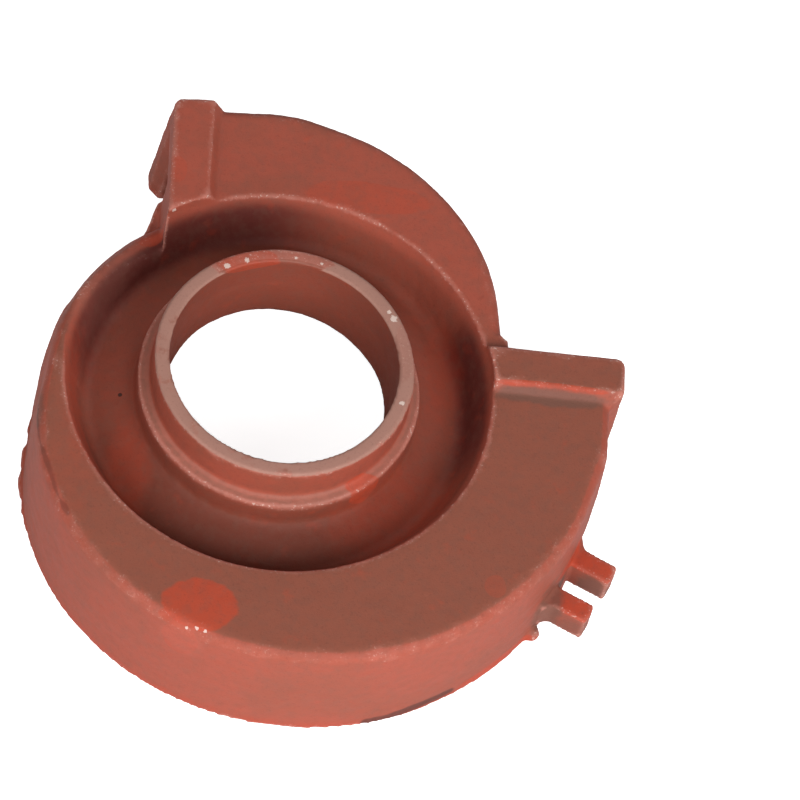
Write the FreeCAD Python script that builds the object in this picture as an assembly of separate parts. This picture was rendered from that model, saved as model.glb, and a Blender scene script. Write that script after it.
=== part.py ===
import FreeCAD, Part
import math
import os
from collections import namedtuple

# Volute casing of a small pump, one iron casting.
# The impeller turns about the Z axis inside a round drum that is open at the back, the plane z = 0.
# The inlet neck stands in a recess at the front, at +Z.
# Two spiral channels run round the drum, each one ending in a straight duct with a collared mouth.
# Sizes are in millimetres and angles in degrees.

# Heights
CASING_HEIGHT = 46.0
NECK_RISE = 12.5
RECESS_DEPTH = 17.5
FLOOR_RISE = 5.5
RIDGE_RISE = 3.0
PARTING_HEIGHT = 20.5

# Inlet neck
BORE_R = 37.15
BORE_LAND = 12.0
THROAT_R = 36.0
BORE_MOUTH_ROUND = 3.0
RIM_WIDTH = 5.0
SHOULDER_STEP = 3.8
SHOULDER_DROP = 14.2
NECK_FOOT_ROUND = 3.5
RIM_ROUND = 0.7
SHOULDER_ROUND = 1.2
SHOULDER_FALL = 0.8

# Recess round the neck
RECESS_FOOT_R = 62.0
RECESS_SLANT = 7.8
RECESS_FOOT_ROUND = 4.0
RECESS_LIP_ROUND = 3.0

# Drum, from the recess lip outwards
LAND_WIDTH = 6.9
RIDGE_ROUND = 10.5

# Thicknesses
WALL = 7.0
ROOF = 6.0
FLOOR_THICKNESS = 6.3
EYE_THICKNESS = 9.6
DUCT_WALL = 9.6
RECESS_WALL = 6.0

# Channels
WALL_DRAFT = 2.5
ROOF_EDGE_ROUND = 4.0

# Mouths and their collars
MOUTH_LEAN = 4.6
COLLAR_WIDTH = 13.0
COLLAR_SLOPE = 4.5
COLLAR_RISE = 3.3
COLLAR_CORNER_ROUND = 3.2
COLLAR_FOOT_ROUND = 0.5
COLLAR_EDGE_ROUND = 1.2

# Tongues, the cutwaters between the drum and each duct
TONGUE_THICKNESS = 4.5
MOUTH_FLARE = 4.0
TONGUE_LENGTH = 33.0
TONGUE_SPREAD = 1.4
TONGUE_ROOT_ANGLE = 100.0
TONGUE_HOLLOW = 0.6
TONGUE_ROUND = 1.0
TONGUE_FALL = 3.5
SADDLE_R = 8.7
SADDLE_DEPTH = 5.7

# Forked lug on the wall of the second channel
FORK_ANGLE = -25.5
FORK_TOP = 21.0
FORK_DEPTH = 11.5
FORK_REACH = 14.2
FORK_SLOT = 9.4
PRONG_WIDTH = 7.3
PRONG_ROUND = 1.2
PRONG_FOOT_ROUND = 3.0

# Allowances that keep one form inside or clear of the next
SEAM = 0.1
MARGIN = 2.0

# Worked out from the sizes above
RIM_TOP = CASING_HEIGHT + NECK_RISE
FLOOR_EDGE = CASING_HEIGHT - RECESS_DEPTH
RIDGE_TOP = FLOOR_EDGE + RIDGE_RISE
PASSAGE_TOP = CASING_HEIGHT - ROOF
COLLAR_TOP = CASING_HEIGHT + COLLAR_RISE
NECK_R = BORE_R + RIM_WIDTH
SHOULDER_Z = RIM_TOP - SHOULDER_DROP
SHOULDER_R = NECK_R + SHOULDER_STEP
FLOOR_SLOPE = FLOOR_RISE / (RECESS_FOOT_R - SHOULDER_R)
EYE_HEIGHT = FLOOR_EDGE + (RECESS_FOOT_R - BORE_R) * FLOOR_SLOPE - EYE_THICKNESS
RECESS_LIP_R = RECESS_FOOT_R + RECESS_SLANT
DRUM_R = RECESS_LIP_R + LAND_WIDTH
CHAMBER_R = DRUM_R - WALL
DUCT_LINE = CHAMBER_R + TONGUE_THICKNESS

# A channel is described in a frame of its own, turned by "turn" about Z.
# There its duct runs towards -X, along the +Y side of the drum.
# "lap" is the angle where its body starts, "start" where it begins to open and "end" where the duct begins.
# "opening" is how far its wall has left the drum at the end, and "lead" how much faster it leaves at first.
# "closing" is the angle at which the duct's wall comes in towards the mouth.
# "mouth" is the distance of the mouth from the axis and "band" how far its collar stands out at the side.
# "tongue_stand" is how far the tongue stands before the mouth and "tongue_top" its height.
Channel = namedtuple("Channel", "turn lap start end opening lead closing mouth band tongue_stand tongue_top")
FIRST = Channel(0.0, 4.0, 20.0, 96.0, 27.9, 1.62, 4.0, 40.0, 0.2, 2.0, RIDGE_TOP - TONGUE_FALL)
SECOND = Channel(-90.0, -97.0, -87.0, 91.0, 32.8, 2.0, 0.0, 20.0, 3.2, 4.5, CASING_HEIGHT - SEAM)
LEAVE_ANGLE = 6.0
SPIRAL_STEP = 12.0

# Ramp on the drum, from its low ridge up to the roof of the second channel
RAMP_FOOT_ANGLE = 148.0
RAMP_CREST_ANGLE = 174.0
RAMP_RUN_ON = 6.0
RAMP_STEPS = 10


def point(x, y, z=0.0):
    return FreeCAD.Vector(x, y, z)


def polar(radius, angle, z=0.0):
    turn = math.radians(angle)
    return point(radius * math.cos(turn), radius * math.sin(turn), z)


def outline(corners):
    """Closed wire in the XY plane through corners (x, y, radius), each one rounded by its radius."""
    edges = []
    starts = []
    ends = []
    count = len(corners)
    for i, (x, y, radius) in enumerate(corners):
        here = point(x, y)
        before = point(*corners[i - 1][:2]) - here
        after = point(*corners[(i + 1) % count][:2]) - here
        half = before.getAngle(after) / 2
        back = radius / math.tan(half)
        tangent_in = here + before.normalize() * back
        tangent_out = here + after.normalize() * back
        starts.append(tangent_in)
        ends.append(tangent_out)
        if radius > 0:
            middle = (before + after).normalize()
            crown = here + middle * (radius / math.sin(half) - radius)
            edges.append(Part.Arc(tangent_in, crown, tangent_out).toShape())
    for i in range(count):
        following = starts[(i + 1) % count]
        if ends[i].distanceToPoint(following) > 1e-6:
            edges.append(Part.LineSegment(ends[i], following).toShape())
    return Part.Wire(Part.sortEdges(edges)[0])


def turned(corners):
    """Solid of revolution about Z of a profile given as (radius, height, rounding)."""
    face = Part.Face(outline(corners))
    face.rotate(point(0, 0), point(1, 0), 90)
    return face.revolve(point(0, 0), point(0, 0, 1), 360)


def floor_height(radius):
    return FLOOR_EDGE + (RECESS_FOOT_R - radius) * FLOOR_SLOPE


def draft_inset(height):
    """How far an outer wall has leaned in above the parting line."""
    return max(height - PARTING_HEIGHT, 0.0) * math.tan(math.radians(WALL_DRAFT))


def lean(height):
    """How far a mouth stands out at a height below the top of its collar."""
    return (COLLAR_TOP - height) * math.tan(math.radians(MOUTH_LEAN))


def roll(share):
    """Soft rise from 0 to 1."""
    return share * share * (3.0 - 2.0 * share)


def wall_radius(channel, angle):
    """How far a channel's wall is from the axis, from just inside the drum's own wall."""
    share = (angle - channel.start) / (channel.end - channel.start)
    share = max(share, 0.0)
    return DRUM_R - SEAM + channel.opening * share * (channel.lead - (channel.lead - 1.0) * share)


def wall_curve(channel, inset, height):
    """The wall of a channel in plan: round the drum, out along the spiral and up to the duct."""
    radius = DRUM_R - SEAM - inset
    leave = channel.start - LEAVE_ANGLE
    first = Part.Arc(polar(radius, channel.lap, height), polar(radius, (channel.lap + leave) / 2, height),
                     polar(radius, leave, height)).toShape()
    steps = math.ceil((channel.end - leave) / SPIRAL_STEP)
    angles = [leave + (channel.end - leave) * i / steps for i in range(steps + 1)]
    spiral = Part.BSplineCurve()
    spiral.interpolate(Points=[polar(wall_radius(channel, a) - inset, a, height) for a in angles],
                       InitialTangent=polar(1, leave + 90), FinalTangent=polar(1, 180 + channel.closing))
    return [first, spiral.toShape()]


def duct_wall(channel, distance):
    """How far the outside of a duct's wall is from the axis, at a distance along the duct."""
    end = polar(wall_radius(channel, channel.end), channel.end)
    return end.y - (end.x + distance) * math.tan(math.radians(channel.closing))


def body_section(channel, height):
    """Plan of a channel's body at a height, from inside the recess wall to its outer wall."""
    edges = wall_curve(channel, draft_inset(height), height)
    corner = edges[-1].Vertexes[-1].Point
    inner = RECESS_FOOT_R
    far = channel.mouth + lean(height)
    mouth_out = point(-far, duct_wall(channel, far) - draft_inset(height), height)
    mouth_in = point(-channel.mouth, math.sqrt(inner ** 2 - channel.mouth ** 2), height)
    last = math.degrees(math.atan2(mouth_in.y, mouth_in.x))
    edges.append(Part.LineSegment(corner, mouth_out).toShape())
    edges.append(Part.LineSegment(mouth_out, mouth_in).toShape())
    edges.append(Part.Arc(mouth_in, polar(inner, (last + channel.lap) / 2, height),
                          polar(inner, channel.lap, height)).toShape())
    edges.append(Part.LineSegment(polar(inner, channel.lap, height), edges[0].Vertexes[0].Point).toShape())
    return Part.Wire(edges)


def along(edge, height):
    """True for an edge that lies wholly at a height."""
    return abs(edge.BoundBox.ZMin - height) < 1e-4 and abs(edge.BoundBox.ZMax - height) < 1e-4


def roof_edges(body, height, least_radius):
    """Edges at a height that are everywhere outside a radius, and run along the wall."""
    found = []
    for edge in body.Edges:
        ends = [vertex.Point for vertex in edge.Vertexes]
        inside = min(math.hypot(p.x, p.y) for p in ends) < least_radius
        if along(edge, height) and not inside:
            found.append(edge)
    return found


def channel_body(channel):
    """Outer form of one channel, drafted above the parting line and rounded at its roof."""
    lower = Part.makeLoft([body_section(channel, 0.0), body_section(channel, PARTING_HEIGHT)], True, True)
    upper = Part.makeLoft([body_section(channel, PARTING_HEIGHT), body_section(channel, CASING_HEIGHT)],
                          True, True)
    wall_top = roof_edges(upper, CASING_HEIGHT, DRUM_R - draft_inset(CASING_HEIGHT) - 2 * SEAM)
    upper = upper.makeFillet(ROOF_EDGE_ROUND, wall_top)
    return lower.fuse(upper)


def ramp():
    """Rise on the drum, swept up its wall from the ridge to the second channel's roof."""
    sections = []
    low = RIDGE_TOP - ROOF_EDGE_ROUND / 2
    last = RAMP_CREST_ANGLE + RAMP_RUN_ON
    for i in range(RAMP_STEPS + 1):
        angle = RAMP_FOOT_ANGLE + (last - RAMP_FOOT_ANGLE) * i / RAMP_STEPS
        share = min((angle - RAMP_FOOT_ANGLE) / (RAMP_CREST_ANGLE - RAMP_FOOT_ANGLE), 1.0)
        top = low + (CASING_HEIGHT - SEAM - low) * roll(share)
        edge_round = RIDGE_ROUND + (ROOF_EDGE_ROUND - RIDGE_ROUND) * share
        wall = DRUM_R - 2 * SEAM
        section = outline([(RECESS_FOOT_R, MARGIN, 0), (wall, MARGIN, 0), (wall, PARTING_HEIGHT, 0),
                           (wall - draft_inset(top), top, edge_round), (RECESS_FOOT_R, top, 0)])
        section.rotate(point(0, 0), point(1, 0), 90)
        section.rotate(point(0, 0), point(0, 0, 1), angle)
        sections.append(section)
    return Part.makeLoft(sections, True, True)


def collar_plan(channel, height):
    """Plan of a collar at a height: its front stands out at the wall as the mouth does."""
    far = channel.mouth + lean(height)
    near = channel.mouth - COLLAR_WIDTH
    back = near - COLLAR_SLOPE
    low = math.sqrt(RECESS_FOOT_R ** 2 - channel.mouth ** 2)
    front_round = COLLAR_FOOT_ROUND + (COLLAR_CORNER_ROUND - COLLAR_FOOT_ROUND) * height / COLLAR_TOP
    plan = outline([(-channel.mouth, low, 0), (-far, duct_wall(channel, far) + channel.band, front_round),
                    (-near, duct_wall(channel, near) + channel.band, COLLAR_CORNER_ROUND),
                    (-back, duct_wall(channel, back) - MARGIN, 0), (-back, low, 0)])
    plan.translate(point(0, 0, height))
    return plan


def collar(channel):
    """Thickened band round the duct at its mouth, sloping back to the roof and to the wall."""
    near = channel.mouth - COLLAR_WIDTH
    back = near - COLLAR_SLOPE
    foot = channel.mouth + lean(0.0)
    low = math.sqrt(RECESS_FOOT_R ** 2 - channel.mouth ** 2)
    block = Part.makeLoft([collar_plan(channel, 0.0), collar_plan(channel, COLLAR_TOP + MARGIN)], True, True)
    profile = outline([(-foot - MARGIN, 0, 0), (-foot - MARGIN, COLLAR_TOP, 0), (-near, COLLAR_TOP, 0),
                       (-back, CASING_HEIGHT - MARGIN, 0), (-back, 0, 0)])
    reach = 2 * duct_wall(channel, near)
    stand = Part.Face(profile).extrude(point(0, 0, reach))
    stand.rotate(point(0, 0), point(1, 0), 90)
    stand.translate(point(0, reach))
    band = block.common(stand)
    top = [edge for edge in band.Edges if along(edge, COLLAR_TOP) and edge.BoundBox.YMax > low + MARGIN
           and edge.BoundBox.XMin < SEAM - near]
    return band.makeFillet(COLLAR_EDGE_ROUND, top)


def tongue(channel):
    """Wedge between the drum and the duct, with a hollow front that runs back to the drum's wall."""
    front = channel.mouth + channel.tongue_stand
    corner = point(-front, DUCT_LINE)
    fall = DUCT_LINE - math.sqrt(DRUM_R ** 2 - front ** 2)
    meet_y = DUCT_LINE - TONGUE_SPREAD * fall
    meet = point(-math.sqrt(DRUM_R ** 2 - meet_y ** 2), meet_y)
    chord = meet - corner
    across = point(-chord.y, chord.x).normalize()
    hollow = corner + chord * 0.5 + across * TONGUE_HOLLOW
    tail = point(-front + TONGUE_LENGTH, DUCT_LINE)
    inside = polar(CHAMBER_R - MARGIN, TONGUE_ROOT_ANGLE)
    drum_side = polar(CHAMBER_R - MARGIN, math.degrees(math.atan2(meet.y, meet.x)))
    edges = [Part.Arc(corner, hollow, meet).toShape(),
             Part.LineSegment(meet, drum_side).toShape(),
             Part.LineSegment(drum_side, inside).toShape(),
             Part.LineSegment(inside, tail).toShape(),
             Part.LineSegment(tail, corner).toShape()]
    wedge = Part.Face(Part.Wire(edges)).extrude(point(0, 0, channel.tongue_top))
    front_edges = [edge for edge in wedge.Edges
                   if along(edge, channel.tongue_top) and isinstance(edge.Curve, Part.Circle)]
    return wedge.makeFillet(TONGUE_ROUND, front_edges).cut(saddle(channel))


def saddle(channel):
    """Round hollow across a tongue's top, between its duct side and the drum's ridge."""
    rise = SADDLE_R - SADDLE_DEPTH
    across = DUCT_LINE - TONGUE_THICKNESS - math.sqrt(SADDLE_R ** 2 - rise ** 2)
    length = 2 * (channel.mouth + channel.tongue_stand)
    return Part.makeCylinder(SADDLE_R, length, point(-length, across, channel.tongue_top + rise), point(1, 0))


def passage_section(channel, height):
    """Plan of the passage at a height, from the chamber to its wall and past its tongue to the mouth."""
    inset = draft_inset(height)
    edges = wall_curve(channel, inset + WALL, height)
    corner = edges[-1].Vertexes[-1].Point
    inner = CHAMBER_R - MARGIN
    edge = channel.mouth + lean(height)
    far = edge + MARGIN
    throat = point(MOUTH_FLARE - edge, duct_wall(channel, edge) - inset - DUCT_WALL, height)
    out = point(-far, throat.y + MOUTH_FLARE + MARGIN, height)
    duct = point(-far, DUCT_LINE, height)
    nose_x = channel.mouth - TONGUE_LENGTH + MARGIN
    nose = point(-nose_x, DUCT_LINE, height)
    root = point(-nose_x, math.sqrt(CHAMBER_R ** 2 - nose_x ** 2), height)
    bulge = (nose + root) * 0.5 + point(nose.distanceToPoint(root) / 2, 0)
    under = point(-nose_x, math.sqrt(inner ** 2 - nose_x ** 2), height)
    last = math.degrees(math.atan2(under.y, under.x))
    edges += [Part.LineSegment(corner, throat).toShape(),
              Part.LineSegment(throat, out).toShape(),
              Part.LineSegment(out, duct).toShape(),
              Part.LineSegment(duct, nose).toShape(),
              Part.Arc(nose, bulge, root).toShape(),
              Part.LineSegment(root, under).toShape(),
              Part.Arc(under, polar(inner, (last + channel.lap) / 2, height),
                       polar(inner, channel.lap, height)).toShape(),
              Part.LineSegment(polar(inner, channel.lap, height), edges[0].Vertexes[0].Point).toShape()]
    return Part.Wire(edges)


def passage(channel):
    """Hollow of one channel, open at the back and at its mouth."""
    lower = Part.makeLoft([passage_section(channel, -MARGIN), passage_section(channel, PARTING_HEIGHT)],
                          True, True)
    upper = Part.makeLoft([passage_section(channel, PARTING_HEIGHT), passage_section(channel, PASSAGE_TOP)],
                          True, True)
    return lower.fuse(upper)


def drum():
    """Round body of the casing with its low ridge, solid at this stage."""
    return turned([(0, 0, 0), (DRUM_R, 0, 0), (DRUM_R, PARTING_HEIGHT, 0),
                   (DRUM_R - draft_inset(RIDGE_TOP), RIDGE_TOP, RIDGE_ROUND), (RECESS_FOOT_R, RIDGE_TOP, 0),
                   (SHOULDER_R, floor_height(SHOULDER_R) + MARGIN, 0),
                   (0, floor_height(SHOULDER_R) + MARGIN, 0)])


def recess():
    """Space between the neck and the channels, down to the sloping floor."""
    high = RIM_TOP + MARGIN
    lip = RECESS_LIP_R + RECESS_LIP_ROUND / 2
    return turned([(0, floor_height(0), 0), (RECESS_FOOT_R, FLOOR_EDGE, RECESS_FOOT_ROUND),
                   (RECESS_LIP_R, CASING_HEIGHT, 0), (lip, high, 0), (0, high, 0)])


def neck():
    """Inlet neck with its shoulder, and the foot that spreads into the floor."""
    spread = SHOULDER_R + 2 * NECK_FOOT_ROUND
    low = floor_height(spread) - MARGIN
    return turned([(0, low, 0), (spread, low, 0), (spread, floor_height(spread), 0),
                   (SHOULDER_R, floor_height(SHOULDER_R), NECK_FOOT_ROUND),
                   (SHOULDER_R, SHOULDER_Z, SHOULDER_ROUND),
                   (NECK_R, SHOULDER_Z + SHOULDER_FALL, SHOULDER_ROUND),
                   (NECK_R, RIM_TOP, RIM_ROUND), (0, RIM_TOP, 0)])


def chamber():
    """Impeller chamber, open at the back, with a ceiling that follows the recess floor."""
    corner_r = RECESS_FOOT_R + RECESS_WALL
    corner_z = floor_height(corner_r) - FLOOR_THICKNESS
    return turned([(0, -MARGIN, 0), (CHAMBER_R, -MARGIN, 0), (CHAMBER_R, corner_z, 0),
                   (corner_r, corner_z, 0), (BORE_R, EYE_HEIGHT, 0), (0, EYE_HEIGHT, 0)])


def bore():
    """Inlet bore, straight below the rim, then narrowing to a throat that is rounded into the chamber."""
    low = EYE_HEIGHT
    spread = THROAT_R + 2 * BORE_MOUTH_ROUND
    high = RIM_TOP + MARGIN
    return turned([(0, low - MARGIN, 0), (spread, low - MARGIN, 0), (spread, low, 0),
                   (THROAT_R, low, BORE_MOUTH_ROUND), (BORE_R, RIM_TOP - BORE_LAND, 0), (BORE_R, high, 0),
                   (0, high, 0)])


def backing():
    """Floor and recess wall seen from behind, which the passages leave standing."""
    corner_r = RECESS_FOOT_R + RECESS_WALL
    corner_z = floor_height(corner_r) - FLOOR_THICKNESS
    return turned([(0, corner_z, 0), (corner_r, corner_z, 0),
                   (RECESS_LIP_R + RECESS_WALL, CASING_HEIGHT, 0), (0, CASING_HEIGHT + MARGIN, 0)])


def fork():
    """Lug with two prongs and a slot between them, on the wall of the second channel."""
    root = wall_radius(SECOND, FORK_ANGLE + 90.0)
    outside = root + FORK_REACH
    inside = root - WALL / 2
    prongs = []
    for side in (-1, 1):
        inner = side * FORK_SLOT / 2
        outer = side * (FORK_SLOT / 2 + PRONG_WIDTH)
        plan = outline([(inside, inner, 0), (outside, inner, PRONG_ROUND), (outside, outer, PRONG_ROUND),
                        (root + PRONG_FOOT_ROUND / 2, outer, PRONG_FOOT_ROUND),
                        (root - SEAM, outer + side * PRONG_FOOT_ROUND, 0),
                        (inside, outer + side * PRONG_FOOT_ROUND, 0)])
        prongs.append(Part.Face(plan).extrude(point(0, 0, FORK_DEPTH)))
    lug = prongs[0].fuse(prongs[1])
    lug.translate(point(0, 0, FORK_TOP - FORK_DEPTH))
    lug.rotate(point(0, 0), point(0, 0, 1), FORK_ANGLE)
    return lug


def placed(shape, channel):
    shape.rotate(point(0, 0), point(0, 0, 1), channel.turn)
    return shape


def casing():
    """The whole casting."""
    outer = drum()
    for channel in (FIRST, SECOND):
        outer = outer.fuse(placed(channel_body(channel), channel))
    outer = outer.fuse(ramp())
    for channel in (FIRST, SECOND):
        outer = outer.fuse(placed(collar(channel), channel))
        outer = outer.fuse(placed(tongue(channel), channel))
    outer = outer.cut(recess()).fuse(neck()).fuse(fork())
    hollow = placed(passage(FIRST), FIRST).fuse(placed(passage(SECOND), SECOND)).cut(backing())
    for space in (hollow, chamber(), bore()):
        outer = outer.cut(space)
    return outer.removeSplitter().Solids[0]


os.makedirs("parts", exist_ok=True)
shape = casing()
shape.exportStep("parts/volute_casing.step")
print("volute_casing", shape.ShapeType, len(shape.Solids), "solid, volume", round(shape.Volume), "box",
      [round(v, 2) for v in (shape.BoundBox.XMin, shape.BoundBox.YMin, shape.BoundBox.ZMin,
                             shape.BoundBox.XMax, shape.BoundBox.YMax, shape.BoundBox.ZMax)])
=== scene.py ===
"""Volute pump casing: a rough sand casting under red primer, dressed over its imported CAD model."""

import math

import bmesh
import bpy
import numpy as np
from mathutils import Matrix, Vector


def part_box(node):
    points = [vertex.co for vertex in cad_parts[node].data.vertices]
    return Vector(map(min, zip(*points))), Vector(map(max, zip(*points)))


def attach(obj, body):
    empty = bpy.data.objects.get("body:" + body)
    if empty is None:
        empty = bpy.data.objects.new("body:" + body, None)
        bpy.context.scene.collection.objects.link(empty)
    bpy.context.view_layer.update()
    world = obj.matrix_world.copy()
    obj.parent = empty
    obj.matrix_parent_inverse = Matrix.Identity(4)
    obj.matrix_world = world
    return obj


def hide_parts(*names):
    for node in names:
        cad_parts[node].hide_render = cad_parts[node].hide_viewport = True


bl_info = {
    "name": "Volute pump casing",
    "version": (1, 0, 0),
    "blender": (4, 5, 0),
    "location": "3D View > Sidebar > Casing",
    "description": "Dresses the packed pump casing as a rough red casting and sets its stage",
    "category": "Object",
}

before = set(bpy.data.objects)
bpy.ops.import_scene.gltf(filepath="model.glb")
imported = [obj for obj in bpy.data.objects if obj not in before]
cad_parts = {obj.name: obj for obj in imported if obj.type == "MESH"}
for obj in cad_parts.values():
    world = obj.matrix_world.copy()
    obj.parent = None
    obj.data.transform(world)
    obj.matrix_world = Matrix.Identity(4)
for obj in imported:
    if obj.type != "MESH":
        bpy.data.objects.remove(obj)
NODE = "volute_casing"
MM = 0.001

# All places and sizes below are in millimetres in the part's frame, and all angles in degrees

# Heights from the frame, and radii that the solid has
LOW, HIGH = [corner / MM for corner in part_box(NODE)]
RIM_TOP = HIGH.z
NECK_RISE = 12.5
ROOF_TOP = RIM_TOP - NECK_RISE
BORE_LAND = 12.0
NECK_R = 42.15
BORE_R = 37.15
DRUM_R = 76.7

# Ridge that carries the roof's rise on from the first tongue
RIDGE_START = 119.0
RIDGE_END = 182.0
RIDGE_LOW = 33.5
RIDGE_FOOT_R = 62.0
RIDGE_BACK_R = 76.0
RIDGE_BLEND = 4.5
RIDGE_RISE_END = RIDGE_END - 4.0
RIDGE_FLANK = 2.05
RIDGE_GRID = (64, 29)
RIDGE_SINK = 0.6
RIDGE_UNDER_R = 70.0
FLOOR_TOP = ROOF_TOP - 16.0

# Back of the ridge: where it stands at one angle and height, and how it changes with both
BACK_ANGLE = 147.0
BACK_HEIGHT = 36.0
BACK_R = 73.3
BACK_GROWTH = 0.06
BACK_LEAN = 0.28
BACK_LEAN_LOSS = 0.0112
BACK_LEAN_RANGE = (0.1, 0.45)

# How the casting is drawn in to the ridge's back, and smoothed where the ridge grows into the roof
DRAW_CLEARANCE = 0.6
DRAW_BLEND = 2.4
DRAW_START = (124.0, 132.0)
DRAW_END = (180.0, 192.0)
DRAW_HEIGHTS = (27.0, 33.0)
DRAW_RADII = (66.0, 70.0)
RIDGE_JOIN = (-72.5, 14.0, 44.0)
JOIN_REACH = (6.0, 19.0)
JOIN_ROUNDS = 36

# Noise on the surface: size across, share and seed of each layer
WAVES = ((24.0, 1.0, 1), (11.0, 0.5, 2))
GRAINS = ((2.6, 1.0, 3), (1.3, 1.0, 4))
RAGS = ((9.0, 0.45, 5), (2.6, 0.35, 6))
RAG_BASE = 0.55

# Odd numbers that scatter the cells of the noise
SCATTER = (73856093, 19349663, 83492791)
SEED_SCATTER = 2654435761
LAST_SCATTER = 1274126177
SEED_SHIFT = 17.31

# Where the machined faces of the bore and the rim begin, outwards from the bore and down from the top
BORE_FADE = (0.6, 1.4)
RIM_FADE = (0.8, 0.3)

# Ragged fin of flash along the back rim: narrow all round, and wide on both sides of one angle
FIN_ANGLE = -165.0
FIN_REACH = 19.0
FIN_CORE = 0.6
FIN_NARROW = 0.07
FIN_WIDE = 1.4
FIN_MOST = 1.4
FIN_HEIGHTS = (0.6, 3.2)
FIN_FACING = (0.2, 0.7)
FIN_INSET = (3.0, 1.0)

# Lumps of flash left on the back rim: middle and radius
LUMPS = (((90.8, -59.4, 2.6), 3.0), ((-75.4, -29.0, 1.6), 2.0), ((70.0, -73.2, 1.5), 1.8))

# Thick fresh primer on the roofs, rim, collar, wall's foot and prongs: middle, half sizes and strength
FRESH_TOUCHES = (
    ((-21.5, -84.8, 46.0), (12.0, 9.4, 3.0), 0.68),
    ((-27.0, -90.0, 45.0), (9.0, 4.0, 2.5), 0.4),
    ((-26.5, -93.0, 37.5), (6.5, 5.0, 8.0), 0.3),
    ((72.5, -67.5, 46.0), (3.5, 4.0, 3.0), 0.2),
    ((26.0, 73.0, 46.5), (22.0, 6.0, 3.0), 0.32),
    ((-14.0, 36.0, 58.0), (11.0, 6.0, 3.0), 0.5),
    ((28.5, -34.3, 41.0), (9.0, 4.8, 6.4), 0.6),
    ((-38.0, 74.0, 49.0), (3.5, 5.0, 2.0), 0.25),
    ((80.0, -72.0, 3.0), (18.0, 17.0, 3.0), 0.75),
    ((106.0, -54.0, 23.5), (16.0, 22.0, 4.0), 0.75),
    ((88.0, 6.9, 48.0), (21.0, 1.3, 2.0), 0.6),
    ((-45.5, 57.5, 37.0), (6.0, 6.0, 9.0), 0.5),
)

# Broader touches with soft edges, in the recess and on its wall
SOFT_TOUCHES = (
    ((43.0, -38.0, 33.0), (25.0, 19.0, 9.0), 0.26),
    ((-46.0, -31.0, 31.0), (7.0, 20.0, 5.0), 0.3),
    ((55.0, 18.0, 30.5), (7.0, 18.0, 5.0), 0.25),
    ((-62.0, -28.0, 40.0), (14.0, 40.0, 6.0), 0.3),
)

# Paler touches on the wall under the first fresh one and on the ridge's crest
PALE_TOUCHES = (
    ((-26.0, -93.0, 38.0), (7.5, 5.0, 7.5), 0.1),
    ((-61.0, 38.0, 38.0), (12.0, 24.0, 10.0), 0.1),
)

# Dusty places on the second mouth's collar and beside the crease, and dust with painted shade on the
# prongs and the wall between them
DUST_AND_SHADE_TOUCHES = (
    ((89.0, 3.9, 46.7), (19.0, 2.9, 3.0), 0.8),
    ((104.0, -47.3, 11.5), (12.0, 3.2, 10.0), 0.75),
    ((103.0, -64.0, 10.0), (12.0, 5.0, 9.0), 0.5),
    ((93.5, -54.0, 15.0), (5.0, 15.0, 13.0), 0.75),
    ((-77.0, -19.0, 43.0), (3.0, 6.0, 3.0), 0.5),
)

# Red primer left on the worn rim
RIM_TOUCHES = (
    ((-9.0, 37.5, 58.5), (22.0, 8.0, 2.0), 1.0),
    ((39.0, 8.0, 58.5), (4.0, 12.0, 2.0), 0.35),
)

# Share of its size over which the edge of a touch fades, either way
CRISP = 0.06
DUST_AND_SHADE_FADE = 0.25
PALE_FADE = 0.3
SOFT_FADE = 0.4

# Bright chips and painted highlights on the inlet rim, a painted highlight on the first mouth's corner,
# and bright chips on the roof's edge: place and size
CHIPS_AND_HIGHLIGHTS = (
    ((-20.5, 33.2, 58.5), 1.0), ((-14.1, 36.2, 58.5), 0.8), ((34.6, 20.0, 58.5), 1.1),
    ((33.0, 22.4, 58.5), 0.7), ((38.4, -11.1, 58.5), 0.8), ((10.3, 37.8, 58.5), 0.5),
    ((1.8, 39.0, 58.5), 0.5), ((-38.0, 59.4, 47.6), 0.8), ((-25.0, -92.7, 44.3), 0.5),
    ((-21.9, -92.9, 45.3), 0.55), ((-19.2, -93.6, 45.3), 0.5),
)

# Line of painted shade along the crease beside the roof's edge, where the second channel leaves the drum
CREASE = (
    (-77.2, -17.0, 42.6), (-76.9, -24.0, 43.3), (-75.2, -32.2, 44.4), (-72.5, -39.7, 45.2),
    (-68.7, -50.2, 45.2), (-65.0, -56.7, 45.3),
)

# Dark line of painted shade along the foot of the wall in front
FOOT_SHADE = (
    (38.0, -97.2, 1.8), (45.0, -94.8, 2.0), (50.5, -92.6, 3.0), (55.4, -90.0, 3.4),
    (60.8, -86.9, 3.6), (64.5, -84.6, 3.9),
)

# Small dark pit in the recess floor
PIT = (-50.3, -3.8, 32.4)
PIT_REACH = (0.7, 0.7, 0.9)

# Bands over which the primer's layers set in or fade, from where they are nothing to where they are full:
# along the height, along the distance from the axis, along X and Y, and in how much a face looks up
ROOF_HEIGHTS = (ROOF_TOP - 4.0, ROOF_TOP - 1.0)
ROOF_FACING = (0.9, 0.99)
ROOF_Y = (40.0, 10.0)
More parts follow.
